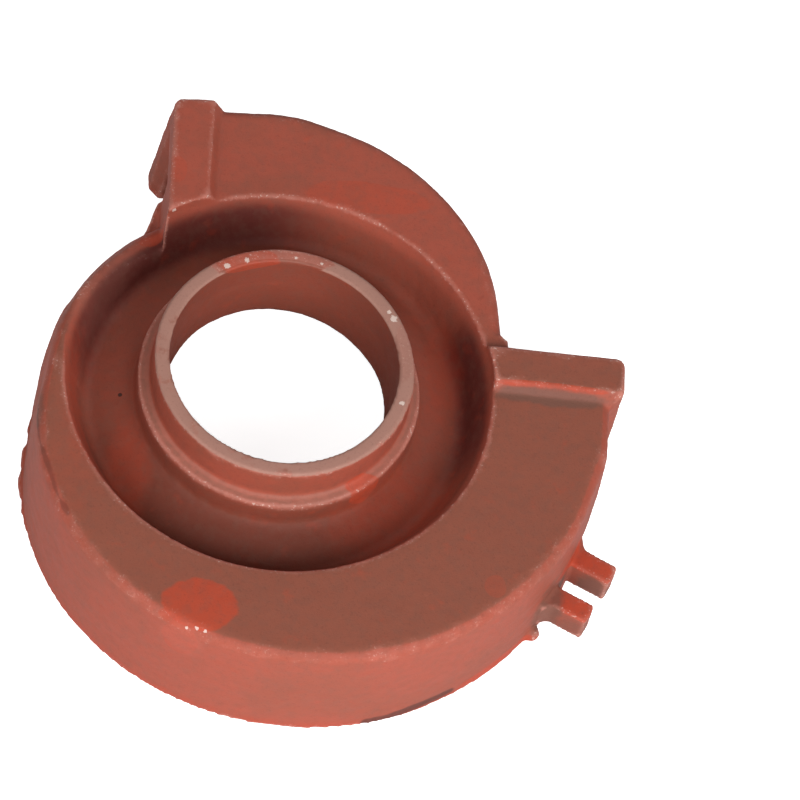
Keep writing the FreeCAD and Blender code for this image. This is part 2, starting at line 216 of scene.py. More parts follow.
# The recess bands, the corner bands and the north west and east bands place the painted shade in the
# recess and its corners
RECESS_HEIGHTS = (46.0, 40.0)
RECESS_RADII = (69.5, 67.0)
RECESS_NECK = (NECK_R + 1.0, NECK_R + 5.0)
RECESS_FRONT_Y = (-2.0, -32.0)
CORNER_INNER = (57.5, 63.0)
CORNER_OUTER = (70.0, 67.0)
NORTH_WEST_X = (22.0, -12.0)
NORTH_WEST_Y = (-16.0, 22.0)
EAST_X = (48.0, 58.0)
EAST_Y_TOP = (36.0, 24.0)
EAST_Y_LOW = (-30.0, -8.0)
BORE_RADII = (BORE_R + 1.2, BORE_R + 0.5)
SHOULDER_RADII = (NECK_R + 5.5, NECK_R + 4.0)
SHOULDER_FACING = (0.4, 0.8)
SHOULDER_HEIGHTS = (33.0, 36.0)
FOOT_HEIGHTS = (5.5, 1.0)
RIM_HEIGHTS = (RIM_TOP - 1.1, RIM_TOP - 0.5)
RIM_RADII = (NECK_R + 3.0, NECK_R + 2.0)

# Bands in the noises, in how far an edge stands out, and in the distance from a line
CLOUD_BAND = (0.45, 0.66)
THICK_BAND = (0.58, 0.74)
STAIN_BAND = (0.4, 0.7)
# The next band sets the pale rubbed edges, which are also a painted highlight
WEAR_AND_HIGHLIGHT_BAND = (0.13, 0.34)
FLAKE_BAND = (0.12, 0.3)
FLAKE_SPECKS = (0.6, 0.68)
BARE_BAND = (0.3, 0.46)
DARK_SPECKS = (0.44, 0.32)
CREASE_BAND = (1.1, 0.2)
FOOT_SHADE_BAND = (2.7, 1.1)

# How strongly each layer of the primer covers what is under it
DUST_SHARE = 0.4
# Shares of the painted shade in the recess, in its front, in its corners and in the bore
RECESS_SHARE = 0.46
RECESS_FRONT_SHARE = 0.46
CORNER_SHADE_SHARE = 0.92
BORE_SHARE = 0.6
NECK_SHARE = 0.32
MOTTLE_SHARE = 0.18
FOOT_SHARE = 0.4
STAIN_SHARE = 0.22
# Share of the pale rubbed edges, which are also a painted highlight
WEAR_AND_HIGHLIGHT_SHARE = 0.6
THICK_COVER = 0.9
FLAKE_SHARE = 0.5
CHIP_AND_HIGHLIGHT_SHARE = 0.7
SPECK_SHARE = 0.14
# Shares of the painted shade in the crease and along the foot of the wall
CREASE_SHARE = 0.4
FOOT_SHADE_SHARE = 0.75

# Sizes of the noises in the primer, and how far they move the edge of a touch or a line
CLOUD_SIZE = 34.0
MOTTLE_SIZE = 7.0
STAIN_SIZE = 3.2
SPECK_SIZE = 0.9
GRAIN_SIZE = 0.6
RAGGED = 0.9
FRAYED = 3.0
EVEN = 0.35
CRUMBLY = 2.4
MOTTLED_EDGES = 0.12
GRAIN_IN_BUMP = 0.5

# Sheen and sand grain of the primer
SPECULAR = 0.25
BUMP_STRENGTH = 0.45
BUMP_DEPTH = 0.35

# Floor: size in metres, gap under the casting, tone and how much brighter the camera sees it
FLOOR_SIZE = 6.0
FLOOR_GAP = 0.05
FLOOR_TONE = 0.86
FLOOR_GLOW = 0.88

# Lamps: the setting that holds the power, size in metres, azimuth and elevation round the aim
LAMPS = (("key", 1.3, 25.0, 34.0), ("back", 1.0, 165.0, 38.0), ("fill", 1.3, -50.0, 34.0))
LAMP_DISTANCE = 1.5

SENSOR_WIDTH = 36.0


class CastingSettings(bpy.types.PropertyGroup):
    """How rough the sand casting is."""

    voxel: bpy.props.FloatProperty(
        name="Voxel", description="Size of the cells that the surface is rebuilt from, in millimetres",
        default=0.8, min=0.5, max=3.0)
    triangles: bpy.props.IntProperty(
        name="Triangles", description="Most triangles that the casting keeps", default=190000, min=20000)
    waviness: bpy.props.FloatProperty(
        name="Waviness", description="Height of the slow waves in the cast faces, in millimetres",
        default=0.22, min=0.0, max=1.0)
    grain: bpy.props.FloatProperty(
        name="Grain", description="Height of the sand grain, in millimetres", default=0.07, min=0.0,
        max=0.5)
    flash: bpy.props.FloatProperty(
        name="Flash", description="How far the ragged fin stands out along the back rim, in millimetres",
        default=1.1, min=0.0, max=3.0)


class FinishSettings(bpy.types.PropertyGroup):
    """Colours of the primer, of what shows through it, and of the painted shade and highlights."""

    primer: bpy.props.FloatVectorProperty(
        name="Primer", description="Main colour of the red primer", subtype="COLOR",
        default=(0.34, 0.072, 0.043), min=0.0, max=1.0)
    dusty: bpy.props.FloatVectorProperty(
        name="Dusty primer", description="Browner primer on the flat roofs", subtype="COLOR",
        default=(0.24, 0.07, 0.042), min=0.0, max=1.0)
    # Painted shade: darker colour in the recess and the bore, where shade falls
    recess_shade: bpy.props.FloatVectorProperty(
        name="Recess primer", description="Darker primer that settled in the recess", subtype="COLOR",
        default=(0.16, 0.036, 0.02), min=0.0, max=1.0)
    # Painted shade: the darkest colour, in the corners of the recess where shade falls
    corner_shade: bpy.props.FloatVectorProperty(
        name="Pooled primer", description="Darkest primer, in the corners of the recess",
        subtype="COLOR", default=(0.1, 0.018, 0.014), min=0.0, max=1.0)
    # Also painted shade at the roots of the prongs and on the wall between them
    grime_and_shade: bpy.props.FloatVectorProperty(
        name="Grime", description="Grey brown dust on the collar and beside the crease", subtype="COLOR",
        default=(0.15, 0.07, 0.05), min=0.0, max=1.0)
    fresh: bpy.props.FloatVectorProperty(
        name="Fresh primer", description="Bright touches where the primer lies thick", subtype="COLOR",
        default=(0.46, 0.05, 0.018), min=0.0, max=1.0)
    # Also a painted highlight along the edges that stand out
    worn_and_highlight: bpy.props.FloatVectorProperty(
        name="Worn primer", description="Pale primer rubbed thin on the edges", subtype="COLOR",
        default=(0.5, 0.2, 0.155), min=0.0, max=1.0)
    iron: bpy.props.FloatVectorProperty(
        name="Bare iron", description="Machined iron on the inlet rim", subtype="COLOR",
        default=(0.35, 0.175, 0.135), min=0.0, max=1.0)
    # Also the colour of the painted highlights on the inlet rim and on the first mouth's corner
    chip_and_highlight: bpy.props.FloatVectorProperty(
        name="Chip", description="Bright iron where a knock took the skin off", subtype="COLOR",
        default=(0.75, 0.62, 0.55), min=0.0, max=1.0)
    # Also the painted shade in the crease and along the foot of the wall in front
    pits_and_shade: bpy.props.FloatVectorProperty(
        name="Pits and scab", description="Nearly black iron in the pit, the crease and the scab",
        subtype="COLOR", default=(0.05, 0.018, 0.014), min=0.0, max=1.0)
    roughness: bpy.props.FloatProperty(
        name="Roughness", description="Roughness of the primer", default=0.62, min=0.0, max=1.0)


class StageSettings(bpy.types.PropertyGroup):
    """Camera and lights."""

    lens: bpy.props.FloatProperty(
        name="Lens", description="Focal length on a 36 mm sensor, in millimetres", default=270.0,
        min=20.0)
    distance: bpy.props.FloatProperty(
        name="Distance", description="From the camera to the point it aims at", default=1.9581, min=0.2,
        unit="LENGTH")
    aim: bpy.props.FloatVectorProperty(
        name="Aim", description="Point that the camera looks at", default=(0.04124, 0.00674, 0.03),
        subtype="TRANSLATION", unit="LENGTH")
    azimuth: bpy.props.FloatProperty(
        name="Azimuth", description="Way the camera looks, from +Y towards +X",
        default=math.radians(11.9), subtype="ANGLE", unit="ROTATION")
    elevation: bpy.props.FloatProperty(
        name="Elevation", description="How steeply the camera looks down",
        default=math.radians(58.97), subtype="ANGLE", unit="ROTATION")
    roll: bpy.props.FloatProperty(
        name="Roll", description="Turn of the camera about its own line of sight",
        default=math.radians(16.25), subtype="ANGLE", unit="ROTATION")
    key: bpy.props.FloatProperty(
        name="Key light", description="Power of the large light in front", default=28.0, min=0.0,
        unit="POWER")
    fill: bpy.props.FloatProperty(
        name="Fill light", description="Power of the light from the left", default=12.0, min=0.0,
        unit="POWER")
    back: bpy.props.FloatProperty(
        name="Back light", description="Power of the light from behind", default=5.0, min=0.0,
        unit="POWER")
    sky: bpy.props.FloatProperty(
        name="Sky", description="Strength of the even light from all round", default=0.1, min=0.0)


def wave(points, size, seed):
    """Smooth noise from -1 to 1 at points in millimetres, with features about size across."""
    cells = points / size + seed * SEED_SHIFT
    base = np.floor(cells).astype(np.int64)
    part = cells - base
    soft = part * part * (3.0 - 2.0 * part)
    total = np.zeros(len(points))
    for corner in np.ndindex(2, 2, 2):
        at = base + np.array(corner)
        spread_out = at * np.array(SCATTER)
        mixed = spread_out[:, 0] ^ spread_out[:, 1] ^ spread_out[:, 2] ^ (seed * SEED_SCATTER)
        mixed = (mixed ^ (mixed >> 13)) * LAST_SCATTER
        value = ((mixed ^ (mixed >> 16)) & 0xFFFF) / 32767.5 - 1.0
        share = np.where(np.array(corner) == 1, soft, 1.0 - soft)
        total += value * share.prod(axis=1)
    return total


def layered(points, layers, base=0.0):
    """Sum of a base and several layers of smooth noise."""
    return sum((share * wave(points, size, seed) for size, share, seed in layers), base)


def step(value, low, high):
    """Soft rise from 0 at low to 1 at high."""
    share = np.clip((value - low) / (high - low), 0.0, 1.0)
    return share * share * (3.0 - 2.0 * share)


def soft_least(first, second, blend):
    """The lesser of two values, rounded where they meet."""
    near = np.clip(blend - np.abs(first - second), 0.0, None) / blend
    return np.minimum(first, second) - near * near * blend / 4


def evaluated(piece):
    """Applies the modifiers of a piece to its mesh."""
    graph = bpy.context.evaluated_depsgraph_get()
    mesh = bpy.data.meshes.new_from_object(piece.evaluated_get(graph))
    piece.modifiers.clear()
    piece.data = mesh
    return mesh


def rows(values, name, width):
    """Values of a mesh collection as rows of numbers."""
    row = np.zeros(len(values) * width, np.float32)
    values.foreach_get(name, row)
    return row.reshape(-1, width).astype(float)


def edge_ends(mesh):
    """The two vertices of each edge."""
    row = np.zeros(len(mesh.edges) * 2, np.int32)
    mesh.edges.foreach_get("vertices", row)
    return row.reshape(-1, 2)


def place_vertices(mesh, place):
    """Moves the vertices of a mesh to places in millimetres."""
    mesh.vertices.foreach_set("co", (place * MM).astype(np.float32).ravel())
    mesh.update()


def spread(values, edges, rounds):
    """Values averaged over their neighbours along the edges, a number of times."""
    count = len(values)
    degree = np.bincount(edges.ravel(), minlength=count).clip(1)
    for _ in range(rounds):
        columns = []
        for column in values.T:
            gathered = np.bincount(edges[:, 0], weights=column[edges[:, 1]], minlength=count)
            gathered += np.bincount(edges[:, 1], weights=column[edges[:, 0]], minlength=count)
            columns.append(gathered / degree)
        values = np.stack(columns, axis=1)
    return values


def back_lean(angle):
    """How far the ridge's back leans in for each millimetre of height: less near the roof."""
    return np.clip(BACK_LEAN - (angle - BACK_ANGLE) * BACK_LEAN_LOSS, *BACK_LEAN_RANGE)


def back_radius(angle, height):
    """Radius of the ridge's back at an angle and a height."""
    return BACK_R + (angle - BACK_ANGLE) * BACK_GROWTH - (height - BACK_HEIGHT) * back_lean(angle)


def ridge_height(angle, radius):
    """Height of the ridge at an angle and a radius: inner flank, crest and back."""
    crest = RIDGE_LOW + (ROOF_TOP - RIDGE_LOW) * step(angle, RIDGE_START, RIDGE_RISE_END)
    flank = FLOOR_TOP + (radius - RIDGE_FOOT_R) * RIDGE_FLANK
    back = BACK_HEIGHT + (back_radius(angle, BACK_HEIGHT) - radius) / back_lean(angle)
    return soft_least(soft_least(flank, back, RIDGE_BLEND), crest, RIDGE_BLEND)


def ridge():
    """Closed mesh of the smooth ridge between the first tongue and the second channel's roof."""
    across, along = RIDGE_GRID
    angles = np.linspace(RIDGE_START, RIDGE_END, across)
    radii = np.linspace(RIDGE_FOOT_R, RIDGE_BACK_R, along)
    angle, radius = np.meshgrid(angles, radii, indexing="ij")
    foot = FLOOR_TOP - RIDGE_SINK
    under = np.minimum(foot, foot - (radius - RIDGE_UNDER_R))
    top = np.maximum(ridge_height(angle, radius), under + 0.2)
    turn = np.radians(angle)
    layers = [np.stack((radius * np.cos(turn), radius * np.sin(turn), height), axis=-1)
              for height in (top, under)]
    size = across * along
    faces = []
    for i in range(across - 1):
        for j in range(along - 1):
            a, b = i * along + j, i * along + j + 1
            c, d = b + along, a + along
            faces += [(a, b, c, d), (size + d, size + c, size + b, size + a)]
    border = [i * along for i in range(across)] + [(across - 1) * along + j for j in range(1, along)]
    border += [i * along + along - 1 for i in range(across - 2, -1, -1)] + list(range(along - 2, 0, -1))
    for a, b in zip(border, border[1:] + border[:1]):
        faces.append((a, b, size + b, size + a))
    mesh = bpy.data.meshes.new("ridge")
    vertices = np.concatenate([layer.reshape(-1, 3) for layer in layers]) * MM
    mesh.from_pydata(vertices.tolist(), [], faces)
    return mesh


def joined(*meshes):
    """One mesh with the geometry of several and the lumps of flash."""
    whole = bmesh.new()
    for mesh in meshes:
        whole.from_mesh(mesh)
    for middle, radius in LUMPS:
        bmesh.ops.create_icosphere(whole, subdivisions=2, radius=radius * MM,
                                   matrix=Matrix.Translation(Vector(middle) * MM))
    made = bpy.data.meshes.new("joined")
    whole.to_mesh(made)
    whole.free()
    return made


def blended(mesh):
    """Draws the casting in to the ridge's back and smooths it where the ridge grows into the roof."""
    place = rows(mesh.vertices, "co", 3) / MM
    angle = np.degrees(np.arctan2(place[:, 1], place[:, 0])) % 360.0
    radius = np.hypot(place[:, 0], place[:, 1])
    drawn = soft_least(radius, back_radius(angle, place[:, 2]) + DRAW_CLEARANCE, DRAW_BLEND)
    within = step(angle, *DRAW_START) * (1.0 - step(angle, *DRAW_END))
    within = within * step(place[:, 2], *DRAW_HEIGHTS) * step(radius, *DRAW_RADII)
    place[:, :2] *= (1.0 + (drawn / radius - 1.0) * within)[:, None]
    edges = edge_ends(mesh)
    share = 1.0 - step(np.linalg.norm(place - np.array(RIDGE_JOIN), axis=1), *JOIN_REACH)
    soft = spread(place, edges[(share[edges] > 0.0).all(axis=1)], JOIN_ROUNDS)
    place += (soft - place) * share[:, None]
    place_vertices(mesh, place)


def flash_reach(place, across):
    """How far the ragged fin stands out at places along the back rim, as a share of the setting."""
    ragged = layered(place, RAGS, RAG_BASE)
    angle = np.degrees(np.arctan2(place[:, 1], place[:, 0]))
    off = np.abs((angle - FIN_ANGLE + 180.0) % 360.0 - 180.0)
    widest = FIN_NARROW + FIN_WIDE * (1.0 - step(off, FIN_REACH * FIN_CORE, FIN_REACH))
    return np.clip(ragged, 0.0, FIN_MOST) * (1.0 - step(place[:, 2], *FIN_HEIGHTS)) * across * widest


def roughened(mesh, settings):
    """Moves the vertices of the casting by its waves, its sand grain and the fin along its back rim."""
    place = rows(mesh.vertices, "co", 3) / MM
    normal = rows(mesh.vertex_normals, "vector", 3)
    radius = np.hypot(place[:, 0], place[:, 1])
    bored = 1.0 - step(radius, BORE_R + BORE_FADE[0], BORE_R + BORE_FADE[1])
    bored = bored * step(place[:, 2], RIM_TOP - BORE_LAND - 1.0, RIM_TOP - BORE_LAND)
    topped = step(place[:, 2], RIM_TOP - RIM_FADE[0], RIM_TOP - RIM_FADE[1])
    machined = np.maximum(topped, bored)
    height = settings.waviness * layered(place, WAVES)
    height += settings.grain * layered(place, GRAINS)
    moved = place + normal * (height * (1.0 - machined))[:, None]
    outward = normal[:, :2]
    facing = (outward * place[:, :2]).sum(axis=1) / np.maximum(radius, 1.0)
    outside = step(facing, *FIN_FACING) * step(radius, DRUM_R - FIN_INSET[0], DRUM_R - FIN_INSET[1])
    moved[:, :2] += outward * (settings.flash * flash_reach(place, outside))[:, None]
    moved[:, 2] = np.clip(moved[:, 2], LOW.z, HIGH.z)
    place_vertices(mesh, moved)


def marked_edges(mesh):
    """Stores how far each vertex stands out from its surroundings, for the pale edges of rubbed primer and
    painted highlight.
    """
    place = rows(mesh.vertices, "co", 3) / MM
    normal = rows(mesh.vertex_normals, "vector", 3)
    edges = edge_ends(mesh)
    around = spread(place, edges, 3)
    out = ((place - around) * normal).sum(axis=1)[:, None]
    out = spread(out, edges, 1)[:, 0]
    attribute = mesh.attributes.new("standing", "FLOAT", "POINT")
    attribute.data.foreach_set("value", out.astype(np.float32))


def casting(settings):
    """The casting as a rough mesh in the place of its CAD node."""
    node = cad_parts[NODE]
    piece = bpy.data.objects.new("casing_casting", joined(node.data, ridge()))
    bpy.context.scene.collection.objects.link(piece)
    remesh = piece.modifiers.new("rebuild", "REMESH")
    remesh.mode = "VOXEL"
    remesh.voxel_size = settings.voxel * MM
    smooth = piece.modifiers.new("soften", "SMOOTH")
    smooth.factor = 0.5
    smooth.iterations = 2
    mesh = evaluated(piece)
    blended(mesh)
    roughened(mesh, settings)
    made = 2 * len(mesh.polygons)
    thin = piece.modifiers.new("thin", "DECIMATE")
    thin.ratio = min(1.0, settings.triangles / made)
    mesh = evaluated(piece)
    marked_edges(mesh)
    mesh.polygons.foreach_set("use_smooth", [True] * len(mesh.polygons))
    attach(piece, "root")
    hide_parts(NODE)
    return piece


class Shader:
    """Node tree of a material, built by short calls."""

    def __init__(self, name):
        self.material = bpy.data.materials.new(name)
        self.material.use_nodes = True
        self.tree = self.material.node_tree
        self.tree.nodes.clear()

    def put(self, socket, value):
        if isinstance(value, bpy.types.NodeSocket):
            self.tree.links.new(value, socket)
        else:
            socket.default_value = value

    def node(self, kind, settings=None, **inputs):
        made = self.tree.nodes.new(kind)
        for name, value in (settings or {}).items():
            setattr(made, name, value)
        for name, value in inputs.items():
            self.put(made.inputs[name.replace("_", " ")], value)
        return made

    def surface(self, socket):
        """Ends the material with a socket as its surface."""
        self.put(self.node("ShaderNodeOutputMaterial").inputs["Surface"], socket)
        return self.material

    def maths(self, operation, first, second):
        made = self.node("ShaderNodeMath", {"operation": operation})
        self.put(made.inputs[0], first)
        self.put(made.inputs[1], second)
        return made.outputs[0]

    def times(self, first, *others):
        """Product of two or more values."""
        for other in others:
            first = self.maths("MULTIPLY", first, other)
        return first

    def vector(self, operation, first, second=(0.0, 0.0, 0.0)):
        made = self.node("ShaderNodeVectorMath", {"operation": operation})
        self.put(made.inputs[0], first)
        self.put(made.inputs[1], second)
        return made.outputs[0]

    def scaled(self, value, scale):
        made = self.node("ShaderNodeVectorMath", {"operation": "SCALE"}, Scale=scale)
        self.put(made.inputs[0], value)
        return made.outputs[0]

    def measure(self, operation, first, second=(0.0, 0.0, 0.0)):
        """Number that a vector operation gives, such as a length or a dot product."""
        made = self.node("ShaderNodeVectorMath", {"operation": operation})
        self.put(made.inputs[0], first)
        self.put(made.inputs[1], second)
        return made.outputs["Value"]

    def rise(self, value, low, high):
        """0 below low, 1 above high, soft between; with low above high it falls instead."""
        made = self.node("ShaderNodeMapRange", {"interpolation_type": "SMOOTHSTEP"})
        self.put(made.inputs["Value"], value)
        self.put(made.inputs["From Min"], min(low, high))
        self.put(made.inputs["From Max"], max(low, high))
        self.put(made.inputs["To Min"], 0.0 if low < high else 1.0)
        self.put(made.inputs["To Max"], 1.0 if low < high else 0.0)
        return made.outputs[0]

    def noise(self, place, size, detail=3.0, shape=0.55):
        """Noise from 0 to 1 with features about size across, in the place's own unit."""
        made = self.node("ShaderNodeTexNoise", {"noise_dimensions": "3D"}, Vector=place,
                         Scale=1.0 / size, Detail=detail, Roughness=shape)
        return made.outputs["Fac"]

    def mix(self, share, first, second):
        made = self.node("ShaderNodeMix", {"data_type": "RGBA"})
        self.put(made.inputs[0], share)
        self.put(made.inputs[6], first)
        self.put(made.inputs[7], second)
        return made.outputs[2]


class Primer(Shader):
    """Red primer on rough iron: the values that its layers share, and one method for each layer."""

    def __init__(self, settings):
        super().__init__("painted_iron")
        self.settings = settings
        self.place = self.scaled(self.node("ShaderNodeTexCoord").outputs["Object"], 1.0 / MM)
        self.x, self.y, self.z = self.node("ShaderNodeSeparateXYZ", Vector=self.place).outputs
        normal = self.node("ShaderNodeNewGeometry").outputs["Normal"]
        self.upward = self.node("ShaderNodeSeparateXYZ", Vector=normal).outputs[2]
        flat = self.node("ShaderNodeCombineXYZ", X=self.x, Y=self.y, Z=0.0).outputs[0]
        self.radius = self.measure("LENGTH", flat)
        self.mottle = self.noise(self.place, MOTTLE_SIZE, 4.0, 0.6)
        self.speck = self.noise(self.place, SPECK_SIZE, 2.0, 0.7)
        self.ragged = self.times(self.maths("SUBTRACT", self.mottle, 0.5), RAGGED)
        self.frayed = self.times(self.ragged, FRAYED)
        self.bore = self.rise(self.radius, *BORE_RADII)
        self.thick = 0.0
        self.colour = (*settings.primer, 1.0)

    def cover(self, share, name):
        """Lays a colour of the settings over what is there."""
        self.colour = self.mix(share, self.colour, (*getattr(self.settings, name), 1.0))

    def touch(self, ragged, middle, reach, fade=CRISP):
        """Share of a touch of paint: 1 inside an ellipsoid with a ragged edge, 0 outside."""
        away = self.vector("DIVIDE", self.vector("SUBTRACT", self.place, middle), reach)
        far = self.maths("ADD", self.measure("LENGTH", away), ragged)
        return self.rise(far, 1.0 + fade, 1.0 - fade)

    def touches(self, ragged, places, fade=CRISP):
        """Share of several touches of paint, each with its middle, half sizes and strength."""
        share = 0.0
        for middle, reach, strength in places:
            one = self.times(self.touch(ragged, middle, reach, fade), strength)
            share = self.maths("MAXIMUM", share, one)
        return share

    def distance(self, points):
        """Distance to a line through points."""
        nearest = 100.0
        for start, end in zip(points, points[1:]):
            along = tuple(Vector(end) - Vector(start))
            away = self.vector("SUBTRACT", self.place, start)
            share = self.maths("DIVIDE", self.measure("DOT_PRODUCT", away, along),
                               Vector(along).length_squared)
            share = self.maths("MINIMUM", self.maths("MAXIMUM", share, 0.0), 1.0)
            gap = self.measure("LENGTH", self.vector("SUBTRACT", away, self.scaled(along, share)))
            nearest = self.maths("MINIMUM", nearest, gap)
        return nearest

    def dust(self):
        """Browner primer on the second channel's roof, and in clouds all over."""
        roof = self.times(self.rise(self.upward, *ROOF_FACING), self.rise(self.z, *ROOF_HEIGHTS),
                          self.rise(self.y, *ROOF_Y))
        self.cover(roof, "dusty")
        cloud = self.noise(self.place, CLOUD_SIZE)
        self.cover(self.times(self.rise(cloud, *CLOUD_BAND), DUST_SHARE), "dusty")

    def hollows(self):
        """Painted shade: darker colour in the recess, most of all in its corners, and in the bore."""
        sunk = self.times(self.rise(self.radius, *RECESS_RADII), self.rise(self.z, *RECESS_HEIGHTS),
                          self.rise(self.radius, *RECESS_NECK))
        front = self.times(self.rise(self.y, *RECESS_FRONT_Y), RECESS_FRONT_SHARE)
        self.cover(self.times(sunk, self.maths("ADD", RECESS_SHARE, front)), "recess_shade")
        # Painted shade in the corners of the recess, to the north west and to the east
        north_west = self.times(self.rise(self.x, *NORTH_WEST_X), self.rise(self.y, *NORTH_WEST_Y))
        east = self.times(self.rise(self.x, *EAST_X), self.rise(self.y, *EAST_Y_TOP),
                          self.rise(self.y, *EAST_Y_LOW))
        corner_shade = self.times(self.rise(self.radius, *CORNER_INNER), self.rise(self.radius, *CORNER_OUTER),
                            self.maths("MAXIMUM", north_west, east), CORNER_SHADE_SHARE)
        self.cover(corner_shade, "corner_shade")
        self.cover(self.times(self.bore, BORE_SHARE), "recess_shade")

    def shoulder(self):
        """Thin primer on the shoulder round the neck."""
        share = self.times(self.rise(self.radius, *SHOULDER_RADII),
                           self.rise(self.upward, *SHOULDER_FACING), self.rise(self.z, *SHOULDER_HEIGHTS))
        self.cover(self.times(share, NECK_SHARE), "iron")

    def brushwork(self):
        """Thick fresh primer, pale touches, touches of dust and painted shade, and stains."""
        thick = self.times(self.rise(self.mottle, *THICK_BAND), MOTTLE_SHARE)
        even = self.times(self.ragged, EVEN)
        thick = self.maths("MAXIMUM", thick, self.touches(even, FRESH_TOUCHES))
        thick = self.maths("MAXIMUM", thick, self.touches(self.ragged, SOFT_TOUCHES, SOFT_FADE))
        foot = self.rise(self.maths("ADD", self.z, self.frayed), *FOOT_HEIGHTS)
        self.thick = self.maths("MAXIMUM", thick, self.times(foot, FOOT_SHARE))
        self.cover(self.thick, "fresh")
        self.cover(self.touches(self.ragged, PALE_TOUCHES, PALE_FADE), "worn_and_highlight")
        self.cover(self.touches(self.ragged, DUST_AND_SHADE_TOUCHES, DUST_AND_SHADE_FADE), "grime_and_shade")
        stain = self.noise(self.place, STAIN_SIZE, 4.0, 0.6)
        self.cover(self.times(self.rise(stain, *STAIN_BAND), STAIN_SHARE), "grime_and_shade")

    def edge_wear_and_highlight(self):
        """Pale edges of rubbed primer that also carry a painted highlight, with bright flakes, but not in
        the bore and hardly where the primer is thick.
        """
        standing = self.node("ShaderNodeAttribute", {"attribute_name": "standing"}).outputs["Fac"]
        uneven = self.maths("ADD", standing, self.times(self.mottle, MOTTLED_EDGES))
        uneven = self.maths("SUBTRACT", uneven, self.bore)
        bared = self.maths("SUBTRACT", 1.0, self.times(self.thick, THICK_COVER))
        worn_and_highlight = self.times(self.rise(uneven, *WEAR_AND_HIGHLIGHT_BAND), self.times(bared, WEAR_AND_HIGHLIGHT_SHARE))
        self.cover(worn_and_highlight, "worn_and_highlight")
        flakes = self.times(self.rise(uneven, *FLAKE_BAND), self.rise(self.speck, *FLAKE_SPECKS))
        self.cover(self.times(flakes, FLAKE_SHARE), "chip_and_highlight")

    def rim(self):
        """Bare iron on the inlet rim, apart from what primer is left there."""
        left = self.maths("SUBTRACT", 1.0, self.touches(self.ragged, RIM_TOUCHES))
        bare = self.times(self.rise(self.z, *RIM_HEIGHTS), self.rise(self.radius, *RIM_RADII), left,
                          self.rise(self.mottle, *BARE_BAND))
        self.cover(bare, "iron")

    def marks(self):
        """Bright chipped spots and painted highlights, the dark specks and pit, and painted shade in the
        crease and along the foot of the wall.
        """
        crumbly = self.times(self.maths("SUBTRACT", self.speck, 0.5), CRUMBLY)
        chips_and_highlights = 0.0
        for middle, size in CHIPS_AND_HIGHLIGHTS:
            chips_and_highlights = self.maths("MAXIMUM", chips_and_highlights, self.touch(crumbly, middle, (size, size, size)))
        self.cover(self.times(chips_and_highlights, CHIP_AND_HIGHLIGHT_SHARE), "chip_and_highlight")
        pits_and_shade = self.times(self.rise(self.speck, *DARK_SPECKS), SPECK_SHARE)
        pits_and_shade = self.maths("MAXIMUM", pits_and_shade, self.touch(0.0, PIT, PIT_REACH))
        crease = self.rise(self.maths("ADD", self.distance(CREASE), self.frayed), *CREASE_BAND)
        pits_and_shade = self.maths("MAXIMUM", pits_and_shade, self.times(crease, CREASE_SHARE))
        foot_shade = self.rise(self.maths("ADD", self.distance(FOOT_SHADE), self.frayed), *FOOT_SHADE_BAND)
        pits_and_shade = self.maths("MAXIMUM", pits_and_shade, self.times(foot_shade, FOOT_SHADE_SHARE))
        self.cover(pits_and_shade, "pits_and_shade")

    def finished(self):
        """The material, with the sand's grain under the primer."""
        grain = self.times(self.noise(self.place, GRAIN_SIZE, 3.0, 0.65), GRAIN_IN_BUMP)
        bump = self.node("ShaderNodeBump", Strength=BUMP_STRENGTH, Distance=BUMP_DEPTH * MM,
                         Height=self.maths("ADD", grain, self.mottle))
        coat = self.node("ShaderNodeBsdfPrincipled", Base_Color=self.colour,
                         Roughness=self.settings.roughness, Specular_IOR_Level=SPECULAR,
                         Normal=bump.outputs[0])
        return self.surface(coat.outputs[0])


def primer_material(settings):
    """Red primer: browner on the roofs, painted shade in the recess, pale rubbed edges with a painted
    highlight, bare on the inlet rim.
    """
    primer = Primer(settings)
    primer.dust()
    primer.hollows()
    primer.shoulder()
    primer.brushwork()
    primer.edge_wear_and_highlight()
    primer.rim()
    primer.marks()
    return primer.finished()


def floor(size):
    """Plain pale floor under the casting, brighter to the camera than to the casting."""
    half = size / 2
    mesh = bpy.data.meshes.new("floor")
    corners = [(-half, -half, 0), (half, -half, 0), (half, half, 0), (-half, half, 0)]
    mesh.from_pydata(corners, [], [(0, 1, 2, 3)])
    piece = bpy.data.objects.new("floor", mesh)
    piece.location.z = (LOW.z - FLOOR_GAP) * MM
    bpy.context.scene.collection.objects.link(piece)
    shader = Shader("floor")
    matte = shader.node("ShaderNodeBsdfDiffuse", Color=(FLOOR_TONE, FLOOR_TONE, FLOOR_TONE, 1.0))
    glow = shader.node("ShaderNodeEmission", Color=(1.0, 1.0, 1.0, 1.0), Strength=FLOOR_GLOW)
    both = shader.node("ShaderNodeAddShader")
    shader.put(both.inputs[0], matte.outputs[0])
    shader.put(both.inputs[1], glow.outputs[0])
    chosen = shader.node("ShaderNodeMixShader")
    shader.put(chosen.inputs[0], shader.node("ShaderNodeLightPath").outputs["Is Camera Ray"])
    shader.put(chosen.inputs[1], matte.outputs[0])
    shader.put(chosen.inputs[2], both.outputs[0])
    mesh.materials.append(shader.surface(chosen.outputs[0]))


